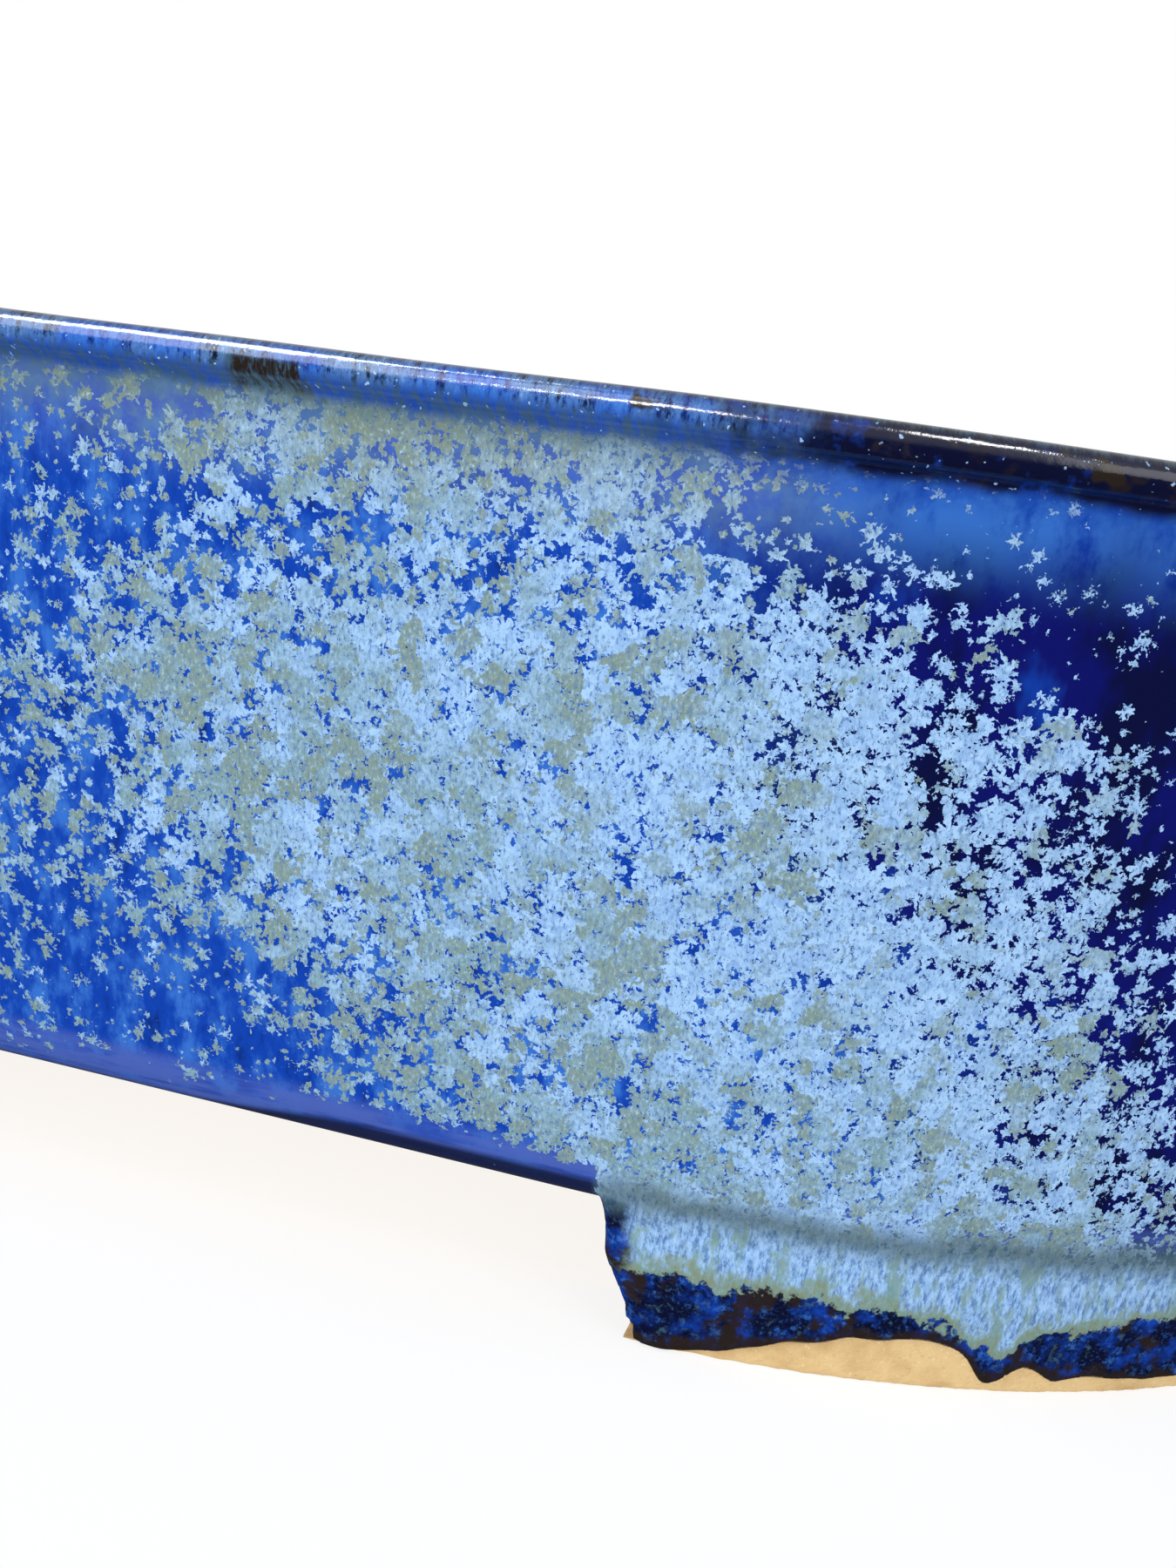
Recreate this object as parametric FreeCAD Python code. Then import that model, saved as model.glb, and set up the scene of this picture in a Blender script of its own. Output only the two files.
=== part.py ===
"""Oval bonsai pot, slab built from stoneware and fired in one piece.

The potter's separate pieces of clay are modelled as separate solids: a base slab, four wall slabs,
four lip strips laid on the walls, four seam coils pressed into the inside corner, and four feet.

Frame: millimetres, +Z up, origin on the table under the middle of the pot.
X runs along the pot's length and Y across it. The plan is an oval with two straight sides and two
half-round ends. Every vertical section is drawn in (inset, z), where inset is the distance inwards
from the lip's outermost line.
"""

import FreeCAD, Part

import math
import os

from FreeCAD import Placement, Rotation, Vector

# ---- driving dimensions ----------------------------------------------------------------------
LENGTH = 360.0              # over the lip, along X
WIDTH = 250.0               # over the lip, along Y; the ends are half circles of this diameter
HEIGHT = 92.0               # table to the top of the lip

FOOT_HEIGHT = 14.0          # table to the underside of the base slab
BASE_THICKNESS = 9.0
BASE_EDGE_RADIUS = 8.0      # rounding of the pot's lower edge
WALL_THICKNESS = 8.0        # measured square to the wall
WALL_FLARE_DEG = 14.0       # how far the walls lean outwards from the vertical

LIP_HEIGHT = 3.6
LIP_OVERHANG = 2.8          # how far the lip stands out past the wall
LIP_EDGE_RADIUS = 1.5
LIP_UNDER_RADIUS = 1.2

SEAM_COIL_SIZE = 6.0        # leg of the coil pressed into the inside corner
SEAM_COIL_FULLNESS = 0.3    # of the way from the corner to a square of clay, at the hollow's middle

FOOT_SETBACK = 0.5          # the foot's outer face runs on from the wall's, this far inside it
FOOT_THICKNESS = 14.0       # across the foot, at its widest
FOOT_START_DEG = 1.0        # where each foot starts, turned round the end's centre from its straight side
FOOT_END_DEG = 52.0         # where it ends
FOOT_END_SLOPE_DEG = 14.0   # lean of each foot's two end faces
FOOT_CORNER_RADIUS = 4.0    # rounding of the corners that the end faces make with the foot's bottom
FOOT_EDGE_RADIUS = 1.2

DRAIN_DIAMETER = 28.0
DRAIN_SPACING = 150.0       # between the two drainage holes, along X
WIRE_HOLE_DIAMETER = 5.0
WIRE_SPACING_X = 70.0
WIRE_SPACING_Y = 90.0

CUT_OVERRUN = 5.0           # how far a cutting tool reaches past what it cuts
SAME_PLACE = 1e-6           # two coordinates closer than this are the same

# ---- worked out from them --------------------------------------------------------------------
END_RADIUS = WIDTH / 2
STRAIGHT_HALF = (LENGTH - WIDTH) / 2
FLOOR_Z = FOOT_HEIGHT + BASE_THICKNESS
WALL_TOP_Z = HEIGHT - LIP_HEIGHT
FLARE = math.tan(math.radians(WALL_FLARE_DEG))
WALL_ACROSS = WALL_THICKNESS / math.cos(math.radians(WALL_FLARE_DEG))

SIDES = {"front": -1, "back": 1}
ENDS = {"left": -1, "right": 1}


def outer_inset(z):
    """Inset of the wall's outer face at height z."""
    return LIP_OVERHANG + (WALL_TOP_Z - z) * FLARE


def inner_inset(z):
    """Inset of the wall's inner face at height z."""
    return outer_inset(z) + WALL_ACROSS


# ---- sections --------------------------------------------------------------------------------
def section_face(points):
    """A flat face in the pot's front section, from (inset, z) corners given in order."""
    placed = [Vector(0, inset - END_RADIUS, z) for inset, z in points]
    return Part.Face(Part.makePolygon(placed + placed[:1]))


def along_front(face, from_x, to_x):
    """The straight bar that a front section makes between two X positions."""
    start = face.copy()
    start.translate(Vector(from_x, 0, 0))
    return start.extrude(Vector(to_x - from_x, 0, 0))


def round_right_end(face, degrees):
    """The bar that a front section makes when it turns round the right end's centre."""
    centre_x = STRAIGHT_HALF
    start = face.copy()
    start.translate(Vector(centre_x, 0, 0))
    return start.revolve(Vector(centre_x, 0, 0), Vector(0, 0, 1), degrees)


def straight_piece(face, side):
    """A straight bar on the front or the back of the pot."""
    bar = along_front(face, -STRAIGHT_HALF, STRAIGHT_HALF)
    if side > 0:
        bar.rotate(Vector(0, 0, 0), Vector(0, 0, 1), 180)
    return bar


def end_piece(face, end):
    """A half-round bar on the left or the right end of the pot."""
    bar = round_right_end(face, 180)
    if end < 0:
        bar.rotate(Vector(0, 0, 0), Vector(0, 0, 1), 180)
    return bar


def round_section_corners(section, corners):
    """The section with rounded corners, from (inset, z, radius) given for each."""
    prism = section.extrude(Vector(1, 0, 0))
    for inset, z, radius in corners:
        edges = [e for e in prism.Edges if all(is_at(v.Point, inset, z) for v in e.Vertexes)]
        prism = prism.makeFillet(radius, edges)
    return next(f for f in prism.Faces if all(abs(v.Point.x) < SAME_PLACE for v in f.Vertexes))


def is_at(point, inset, z):
    """Whether a point of the front section lies at the given inset and height."""
    return abs(point.y - (inset - END_RADIUS)) < SAME_PLACE and abs(point.z - z) < SAME_PLACE


# ---- base slab -------------------------------------------------------------------------------
def base_section():
    """Section from the pot's long axis out to the base slab's flaring edge, rounded below."""
    section = section_face(
        [
            (END_RADIUS, FOOT_HEIGHT),
            (outer_inset(FOOT_HEIGHT), FOOT_HEIGHT),
            (outer_inset(FLOOR_Z), FLOOR_Z),
            (END_RADIUS, FLOOR_Z),
        ]
    )
    return round_section_corners(section, [(outer_inset(FOOT_HEIGHT), FOOT_HEIGHT, BASE_EDGE_RADIUS)])


def undrilled_base():
    """The base slab before its holes are cut."""
    section = base_section()
    pieces = [straight_piece(section, side) for side in SIDES.values()]
    pieces += [end_piece(section, end) for end in ENDS.values()]
    return pieces[0].multiFuse(pieces[1:]).removeSplitter()


def base_slab():
    """The floor of the pot, with two drainage holes and four tie-wire holes."""
    return undrilled_base().cut(Part.makeCompound(drain_tools() + wire_tools()))


def hole_tool(x, y, diameter):
    """A round cutter that passes right through the base slab."""
    foot = Vector(x, y, FOOT_HEIGHT - CUT_OVERRUN)
    return Part.makeCylinder(diameter / 2, BASE_THICKNESS + 2 * CUT_OVERRUN, foot)


def drain_tools():
    """Cutters for the two drainage holes."""
    return [hole_tool(sign * DRAIN_SPACING / 2, 0, DRAIN_DIAMETER) for sign in (-1, 1)]


def wire_tools():
    """Cutters for the four holes that the tree is wired down through."""
    return [
        hole_tool(sx * WIRE_SPACING_X / 2, sy * WIRE_SPACING_Y / 2, WIRE_HOLE_DIAMETER)
        for sx in (-1, 1)
        for sy in (-1, 1)
    ]


# ---- walls, lip and seam coils ---------------------------------------------------------------
def wall_section():
    """A leaning slab that stands on the base slab and carries the lip strip."""
    return section_face(
        [
            (outer_inset(FLOOR_Z), FLOOR_Z),
            (outer_inset(WALL_TOP_Z), WALL_TOP_Z),
            (inner_inset(WALL_TOP_Z), WALL_TOP_Z),
            (inner_inset(FLOOR_Z), FLOOR_Z),
        ]
    )


def lip_section():
    """The strip on top of the wall: flush inside, standing out past the wall outside."""
    inner = inner_inset(WALL_TOP_Z)
    section = section_face([(0, WALL_TOP_Z), (0, HEIGHT), (inner, HEIGHT), (inner, WALL_TOP_Z)])
    corners = [
        (0, HEIGHT, LIP_EDGE_RADIUS),
        (inner, HEIGHT, LIP_EDGE_RADIUS),
        (0, WALL_TOP_Z, LIP_UNDER_RADIUS),
    ]
    return round_section_corners(section, corners)


def seam_coil_section():
    """The coil of clay pressed into the inside corner, hollowed by the potter's thumb."""
    corner = Vector(0, inner_inset(FLOOR_Z) - END_RADIUS, FLOOR_Z)
    on_floor = corner + Vector(0, SEAM_COIL_SIZE, 0)
    up_wall = Vector(0, -math.sin(math.radians(WALL_FLARE_DEG)), math.cos(math.radians(WALL_FLARE_DEG)))
    on_wall = corner + up_wall * SEAM_COIL_SIZE
    hollow = corner + (on_floor + on_wall - corner * 2) * SEAM_COIL_FULLNESS
    edges = [
        Part.makeLine(corner, on_floor),
        Part.Arc(on_floor, hollow, on_wall).toShape(),
        Part.makeLine(on_wall, corner),
    ]
    return Part.Face(Part.Wire(edges))


# ---- feet ------------------------------------------------------------------------------------
def foot_section():
    """A foot's section, drawn up into the base slab so that the slab can be cut from it."""
    top = FOOT_HEIGHT + BASE_EDGE_RADIUS
    outer_bottom = outer_inset(0) + FOOT_SETBACK
    outer_top = outer_inset(top) + FOOT_SETBACK
    inner = outer_bottom + FOOT_THICKNESS
    return section_face([(outer_bottom, 0), (outer_top, top), (inner, top), (inner, 0)])


def end_cutter(degrees):
    """A block that trims a foot's start, at an angle round the right end's centre.

    The face that cuts leans, so that the foot gets shorter on its way down from the underside.
    """
    reach = 2 * (WIDTH + HEIGHT)
    block = Part.makeBox(reach, reach, reach, Vector(-reach, -reach, -reach / 2))
    block.Placement = Placement(
        Vector(STRAIGHT_HALF, 0, FOOT_HEIGHT), Rotation(Vector(0, 1, 0), FOOT_END_SLOPE_DEG)
    )
    block.rotate(Vector(STRAIGHT_HALF, 0, 0), Vector(0, 0, 1), degrees)
    return block


def front_right_foot():
    """The foot under the front of the right end, pressed up against the base slab."""
    bar = round_right_end(foot_section(), FOOT_END_DEG + FOOT_START_DEG)
    start = end_cutter(FOOT_START_DEG)
    finish = end_cutter(-FOOT_END_DEG).mirror(Vector(STRAIGHT_HALF, 0, 0), Vector(1, 0, 0))
    blank = bar.cut(start).cut(finish)
    corners = [
        e
        for e in blank.Edges
        if all(abs(v.Point.z) < SAME_PLACE for v in e.Vertexes) and is_straight(e)
    ]
    blank = blank.makeFillet(FOOT_CORNER_RADIUS, corners)
    long_edges = [
        e
        for e in blank.Edges
        if all(abs(v.Point.z) < SAME_PLACE for v in e.Vertexes) and not is_straight(e)
    ]
    blank = blank.makeFillet(FOOT_EDGE_RADIUS, long_edges)
    return blank.cut(undrilled_base())


def is_straight(edge):
    """Whether an edge is a straight line."""
    return isinstance(edge.Curve, (Part.Line, Part.LineSegment))


def foot(side, end):
    """One of the four feet, mirrored from the front right one."""
    shape = front_right_foot()
    if end < 0:
        shape = shape.mirror(Vector(0, 0, 0), Vector(1, 0, 0))
    if side > 0:
        shape = shape.mirror(Vector(0, 0, 0), Vector(0, 1, 0))
    return shape


# ---- all nodes -------------------------------------------------------------------------------
def build():
    """Every node of the pot, by name."""
    nodes = {"base_slab": base_slab()}
    sections = {"wall": wall_section(), "lip": lip_section(), "seam_coil": seam_coil_section()}
    for name, section in sections.items():
        for side_name, side in SIDES.items():
            nodes[f"{name}_{side_name}"] = straight_piece(section, side)
        for end_name, end in ENDS.items():
            nodes[f"{name}_{end_name}_end"] = end_piece(section, end)
    for side_name, side in SIDES.items():
        for end_name, end in ENDS.items():
            nodes[f"foot_{side_name}_{end_name}"] = foot(side, end)
    return nodes


def main():
    """Builds each node, makes sure that it is one sound solid, and writes it out."""
    os.makedirs("parts", exist_ok=True)
    for name, shape in build().items():
        solids = shape.Solids
        if len(solids) != 1 or not solids[0].isValid():
            raise RuntimeError(f"{name} is not one valid solid")
        solids[0].exportStep(f"parts/{name}.step")
        box = solids[0].BoundBox
        print(
            f"{name:22s} {box.XLength:7.1f} {box.YLength:7.1f} {box.ZLength:7.1f}"
            f"  {solids[0].Volume / 1000:8.2f} cm3"
        )


if __name__ == "__main__":
    main()
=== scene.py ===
"""Looks of an oval stoneware bonsai pot with a crystalline blue glaze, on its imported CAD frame.

Everything is in metres in the CAD frame: +X along the pot, +Y across it towards the back, +Z up.
Sizes on the pot's section are given as an inset, the distance inwards from the lip's outermost
line, and a height. Sizes inside the materials are in millimetres.
"""

import sys
import logging
import math
from dataclasses import dataclass
from enum import Enum
from functools import partialmethod
from typing import Callable, Iterable, Sequence

import bmesh
import bpy
from mathutils import Matrix, Vector, noise


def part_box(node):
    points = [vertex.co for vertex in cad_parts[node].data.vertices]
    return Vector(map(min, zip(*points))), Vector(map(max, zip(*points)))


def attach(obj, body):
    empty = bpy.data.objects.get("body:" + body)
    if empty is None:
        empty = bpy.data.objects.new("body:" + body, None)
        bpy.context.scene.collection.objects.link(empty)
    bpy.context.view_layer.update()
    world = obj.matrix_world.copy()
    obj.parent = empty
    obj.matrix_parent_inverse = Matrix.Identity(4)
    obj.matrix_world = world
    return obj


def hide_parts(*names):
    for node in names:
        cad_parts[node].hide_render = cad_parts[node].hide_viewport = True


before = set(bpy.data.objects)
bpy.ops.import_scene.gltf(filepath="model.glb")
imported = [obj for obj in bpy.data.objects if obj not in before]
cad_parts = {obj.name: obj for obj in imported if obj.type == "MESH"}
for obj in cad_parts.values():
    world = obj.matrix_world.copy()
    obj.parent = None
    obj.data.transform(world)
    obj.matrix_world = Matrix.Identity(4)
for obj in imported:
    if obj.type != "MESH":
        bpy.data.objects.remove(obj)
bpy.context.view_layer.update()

log = logging.getLogger("bonsai_pot")

MM = 0.001
BODY = "root"
EDGE_ATTRIBUTE = "glaze_edge"
LIP_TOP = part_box("lip_front")[1].z / MM
EDGE_RADIUS = 8 * MM  # rounding of the pot's lower edge
HALF_CORNER = 38.0  # half the angle between underside and wall, in degrees
Point = tuple[float, float]
Colour = tuple[float, float, float, float]
Socket = bpy.types.NodeSocket


def srgb(red: int, green: int, blue: int) -> Colour:
    """The linear colour of an 8-bit display colour.

    Args:
        red: 0 to 255.
        green: 0 to 255.
        blue: 0 to 255.

    Returns:
        Linear red, green and blue, with an alpha of 1.
    """
    def linear(value: int) -> float:
        """One channel of the colour, made linear."""
        share = value / 255
        return share / 12.92 if share <= 0.04045 else ((share + 0.055) / 1.055) ** 2.4

    return linear(red), linear(green), linear(blue), 1.0


# ---- sizes of the pot ---------------------------------------------------------------------------
@dataclass(frozen=True)
class PotSizes:
    """The pot's driving sizes, in metres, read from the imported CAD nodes.

    Attributes:
        straight_half: half the length of the straight sides.
        end_radius: plan radius of the round ends, over the lip.
        height: table to the top of the lip.
        wall_top: height at which the lip strip sits on the wall.
        floor: height of the floor inside the pot.
        underside: height of the base slab's underside.
        overhang: how far the lip stands out past the wall.
        wall_across: level thickness of the wall.
        flare: how far the wall leans outwards for each metre of height.
    """

    straight_half: float
    end_radius: float
    height: float
    wall_top: float
    floor: float
    underside: float
    overhang: float
    wall_across: float
    flare: float

    @classmethod
    def from_frame(cls) -> "PotSizes":
        """Reads the sizes from the boxes of the lip, wall and base nodes."""
        lip_low, lip_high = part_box("lip_front")
        wall_low, wall_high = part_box("wall_front")
        base_low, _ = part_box("base_slab")
        return cls(
            straight_half=lip_high.x,
            end_radius=-lip_low.y,
            height=lip_high.z,
            wall_top=lip_low.z,
            floor=wall_low.z,
            underside=base_low.z,
            overhang=wall_low.y - lip_low.y,
            wall_across=lip_high.y - wall_low.y,
            flare=(wall_high.y - lip_high.y) / (lip_low.z - wall_low.z),
        )

    def outer(self, z: float) -> float:
        """Inset of the wall's outer face at a height."""
        return self.overhang + (self.wall_top - z) * self.flare

    def inner(self, z: float) -> float:
        """Inset of the wall's inner face at a height."""
        return self.outer(z) + self.wall_across

    def edge_centre(self, radius: float) -> Point:
        """Centre of a rounding of this radius between the underside and the wall's outer face."""
        reach = radius * math.tan(math.radians(HALF_CORNER))
        return self.outer(self.underside) + reach, self.underside + radius

    def inset_of(self, point: Vector) -> float:
        """How far a point lies inside the lip's outermost line, in plan."""
        along = max(-self.straight_half, min(self.straight_half, point.x))
        return self.end_radius - math.hypot(point.x - along, point.y)


# ---- modelling steps ----------------------------------------------------------------------------
def deselect_everything() -> None:
    """Leaves object mode with nothing selected, so that the next step acts on its piece only."""
    if bpy.context.object and bpy.context.object.mode != "OBJECT":
        bpy.ops.object.mode_set(mode="OBJECT")
    bpy.ops.object.select_all(action="DESELECT")


def activate(piece: bpy.types.Object) -> None:
    """Makes one piece the only selected and active one."""
    deselect_everything()
    piece.select_set(True)
    bpy.context.view_layer.objects.active = piece


def start_from_point(name: str, point: Vector) -> bpy.types.Object:
    """Starts a piece as one vertex, in edit mode with that vertex selected.

    Args:
        name: the new object's name.
        point: where the vertex goes.

    Returns:
        The new object.
    """
    deselect_everything()
    bpy.ops.mesh.primitive_plane_add(size=MM, location=(0, 0, 0))
    piece = bpy.context.object
    piece.name = name
    piece.data.name = name
    bpy.ops.object.mode_set(mode="EDIT")
    bpy.ops.mesh.select_all(action="SELECT")
    bpy.ops.mesh.merge(type="CENTER")
    bpy.ops.transform.translate(value=point)
    return piece


def extrude_along(steps: Iterable[Vector]) -> None:
    """Extrudes what is selected by each step in turn."""
    for step in steps:
        bpy.ops.mesh.extrude_region_move(TRANSFORM_OT_translate={"value": step})


def spin_half(centre_x: float, steps: int, degrees: float = 180.0) -> None:
    """Spins what is selected round an end's centre, anticlockwise seen from above.

    The operator's own sense is clockwise, so it gets the angle with its sign turned.
    """
    bpy.ops.mesh.spin(
        steps=steps, angle=math.radians(-degrees), center=(centre_x, 0, 0), axis=(0, 0, 1)
    )


def close_up(threshold: float) -> None:
    """Merges doubles all over the mesh and turns its faces outwards."""
    bpy.ops.mesh.select_all(action="SELECT")
    bpy.ops.mesh.remove_doubles(threshold=threshold)
    bpy.ops.mesh.normals_make_consistent(inside=False)
    bpy.ops.object.mode_set(mode="OBJECT")


def apply_modifier(piece: bpy.types.Object, kind: str, **settings: object) -> None:
    """Adds a modifier with these settings and applies it.

    Args:
        piece: the object to modify.
        kind: the modifier's type.
        **settings: its properties.
    """
    activate(piece)
    modifier = piece.modifiers.new(kind.title(), kind)
    for key, value in settings.items():
        setattr(modifier, key, value)
    bpy.ops.object.modifier_apply(modifier=modifier.name)


def arc(centre: Point, radius: float, start: float, end: float, steps: int) -> list[Point]:
    """Points on an arc of the section.

    Args:
        centre: the arc's centre, as inset and height.
        radius: its radius.
        start: where it starts, in degrees, with 0 outwards and 90 upwards.
        end: where it ends.
        steps: how many spans it has.

    Returns:
        The arc's points, both ends included.
    """
    angles = [math.radians(start + (end - start) * i / steps) for i in range(steps + 1)]
    return [(centre[0] - radius * math.cos(a), centre[1] + radius * math.sin(a)) for a in angles]


def wander(point: Vector, size: float, seed: float) -> float:
    """Smooth noise between about -1 and 1 that changes over the given distance."""
    return noise.noise(point / size + Vector((seed, seed * 0.7, -seed)))


# ---- the pot's body -----------------------------------------------------------------------------
@dataclass
class PotBody:
    """The walls, lip and base, which firing has made one piece.

    Attributes:
        sizes: the pot's driving sizes.
        lip_tuck: how far the lip's rounded faces stay inside the CAD lip.
        wall_wave: how far the hand-made walls wander.
        lip_wave: how far the lip wanders up and down.
        drain_radius: radius of the two drainage holes.
        drain_x: how far each drainage hole lies from the middle.
        wire_radius: radius of the four tie-wire holes.
        wire_place: where the tie-wire holes lie, from the middle.
        glaze_inside: how far the glaze runs down inside the lip.
        end_steps: columns of faces round half an end.
        side_steps: columns of faces along a straight side.
        under_stations: section points on the underside, in millimetres from the middle line.
        outer_stations: heights of section points up the outer face.
        inner_stations: heights of section points down the inner face.
        floor_stations: section points on the floor, in millimetres from the middle line.
    """

    sizes: PotSizes
    lip_tuck: float = 0.25 * MM
    wall_wave: float = 0.5 * MM
    lip_wave: float = 0.35 * MM
    drain_radius: float = 14 * MM
    drain_x: float = 75 * MM
    wire_radius: float = 2.5 * MM
    wire_place: Point = (35 * MM, 45 * MM)
    glaze_inside: float = 7 * MM
    end_steps: int = 34
    side_steps: int = 20
    under_stations: Sequence[float] = (0, 20, 45, 68, 80, 87, 91)
    outer_stations: Sequence[float] = (24, 30, 38, 48, 58, 68, 76, 81, 84.2)
    inner_stations: Sequence[float] = (85, 80, 70, 58, 46, 36)
    floor_stations: Sequence[float] = (86, 78, 60, 30, 0)

    def section(self) -> list[Point]:
        """The section's points, from the underside's middle round the lip to the floor's middle."""
        s = self.sizes
        points = [(s.end_radius - d * MM, s.underside) for d in self.under_stations]
        points += arc(s.edge_centre(EDGE_RADIUS), EDGE_RADIUS, -90, -14, 4)
        points += [(s.outer(z * MM), z * MM) for z in self.outer_stations]
        points += self.lip_section()
        points += [(s.inner(z * MM), z * MM) for z in self.inner_stations]
        corner = s.inner(s.floor)
        points += [
            (s.inner(s.floor + 6 * MM), s.floor + 6 * MM),
            (corner + 1.6 * MM, s.floor + 2.4 * MM),
            (corner + 5.5 * MM, s.floor + 0.2 * MM),
        ]
        points += [(s.end_radius - d * MM, s.floor) for d in self.floor_stations]
        return points

    def lip_section(self) -> list[Point]:
        """The lip's section: a soft hollow under it, a rounded outer face and a nearly flat top."""
        s = self.sizes
        out = self.lip_tuck
        top = s.height - self.lip_tuck
        low = s.wall_top
        return [
            (s.outer(86.4 * MM) + 0.05 * MM, 86.4 * MM),
            (s.overhang + 0.15 * MM, low - 0.75 * MM),
            (s.overhang - 0.5 * MM, low - 0.1 * MM),
            (out + 1.3 * MM, low),
            (out + 0.45 * MM, low + 0.35 * MM),
            (out, low + 1.1 * MM),
            (out, low + 2.0 * MM),
            (out + 0.4 * MM, low + 2.8 * MM),
            (out + 1.3 * MM, top - 0.1 * MM),
            (out + 2.8 * MM, top),
            (out + 6.0 * MM, top),
            (out + 8.6 * MM, top - 0.05 * MM),
            (s.inner(low) - 1.1 * MM, top - 0.5 * MM),
            (s.inner(low) - 0.2 * MM, top - 1.6 * MM),
            (s.inner(low), low - 0.6 * MM),
        ]

    def build(self) -> bpy.types.Object:
        """Models the body: a section drawn by extrusion, run along the sides and round the ends.

        Returns:
            The finished body.
        """
        s = self.sizes
        places = [Vector((-s.straight_half, i - s.end_radius, z)) for i, z in self.section()]
        body = start_from_point("pot_body", places[0])
        extrude_along(b - a for a, b in zip(places, places[1:]))
        bpy.ops.mesh.select_all(action="SELECT")
        stride = Vector((2 * s.straight_half / self.side_steps, 0, 0))
        extrude_along([stride] * self.side_steps)
        spin_half(s.straight_half, self.end_steps)
        extrude_along([-stride] * self.side_steps)
        spin_half(-s.straight_half, self.end_steps)
        close_up(0.02 * MM)
        apply_modifier(body, "SUBSURF", levels=2, render_levels=2)
        self.make_uneven(body)
        self.drill(body)
        self.mark_glaze_edge(body)
        activate(body)
        bpy.ops.object.shade_smooth_by_angle(angle=math.radians(40))
        return body

    def make_uneven(self, body: bpy.types.Object) -> None:
        """Gives the walls and lip the slight unevenness of hand work."""
        s = self.sizes
        outwards = [v.normal.copy() for v in body.data.vertices]
        for vertex, out in zip(body.data.vertices, outwards):
            p = vertex.co
            on_wall = min(1.0, max(0.0, (p.z - s.floor) / (20 * MM)))
            push = wander(p, 55 * MM, 3.1) + 0.45 * wander(p, 21 * MM, 8.3)
            p -= Vector((out.x, out.y, 0)) * abs(push) * self.wall_wave * on_wall
            if p.z > s.wall_top - 3 * MM:
                dip = 0.5 + 0.5 * wander(Vector((p.x, p.y, 0)), 26 * MM, 5.7)
                p.z -= dip * self.lip_wave
        body.data.update()

    def drill(self, body: bpy.types.Object) -> None:
        """Cuts the drainage and tie-wire holes through the base."""
        s = self.sizes
        drains = [(side * self.drain_x, 0.0, self.drain_radius, 64) for side in (-1, 1)]
        wires = [
            (sx * self.wire_place[0], sy * self.wire_place[1], self.wire_radius, 24)
            for sx in (-1, 1)
            for sy in (-1, 1)
        ]
        for x, y, radius, corners in drains + wires:
            deselect_everything()
            bpy.ops.mesh.primitive_cylinder_add(
                vertices=corners,
                radius=radius,
                depth=4 * (s.floor - s.underside),
                location=(x, y, (s.floor + s.underside) / 2),
            )
            cutter = bpy.context.object
            apply_modifier(body, "BOOLEAN", operation="DIFFERENCE", object=cutter, solver="EXACT")
            bpy.data.objects.remove(cutter)

    def mark_glaze_edge(self, body: bpy.types.Object) -> None:
        """Stores how far each vertex lies inside the glazed area, in millimetres."""
        s = self.sizes

        def depth(p: Vector) -> float:
            """Distance from the edge of the glaze, positive under the glaze."""
            inset = s.inset_of(p)
            ragged = 1.3 * MM * wander(p, 9 * MM, 2.2)
            if inset > s.outer(p.z) + s.wall_across / 2 and p.z > s.floor - MM:
                return p.z - (s.height - self.glaze_inside) + ragged
            return s.outer(s.underside) + 9 * MM - inset + ragged

        store_edge(body, depth)


def store_edge(piece: bpy.types.Object, depth: Callable[[Vector], float]) -> None:
    """Writes depth, in millimetres, to the piece's glaze edge attribute.

    Args:
        piece: the object whose mesh gets the attribute.
        depth: gives a point's distance inside the glaze, in metres.
    """
    attribute = piece.data.attributes.new(EDGE_ATTRIBUTE, "FLOAT", "POINT")
    values = [depth(v.co) / MM for v in piece.data.vertices]
    attribute.data.foreach_set("value", values)


# ---- feet ---------------------------------------------------------------------------------------
class FootPlace(Enum):
    """Where a foot stands: its CAD node, and its sides along X and Y."""

    FRONT_RIGHT = ("foot_front_right", 1, -1)
    FRONT_LEFT = ("foot_front_left", -1, -1)
    BACK_RIGHT = ("foot_back_right", 1, 1)
    BACK_LEFT = ("foot_back_left", -1, 1)

    @property
    def node(self) -> str:
        """The CAD node that this foot replaces."""
        return self.value[0]

    @property
    def mirror(self) -> Vector:
        """Signs that carry the front right foot to this place."""
        return Vector((self.value[1], -self.value[2], 1))


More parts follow.
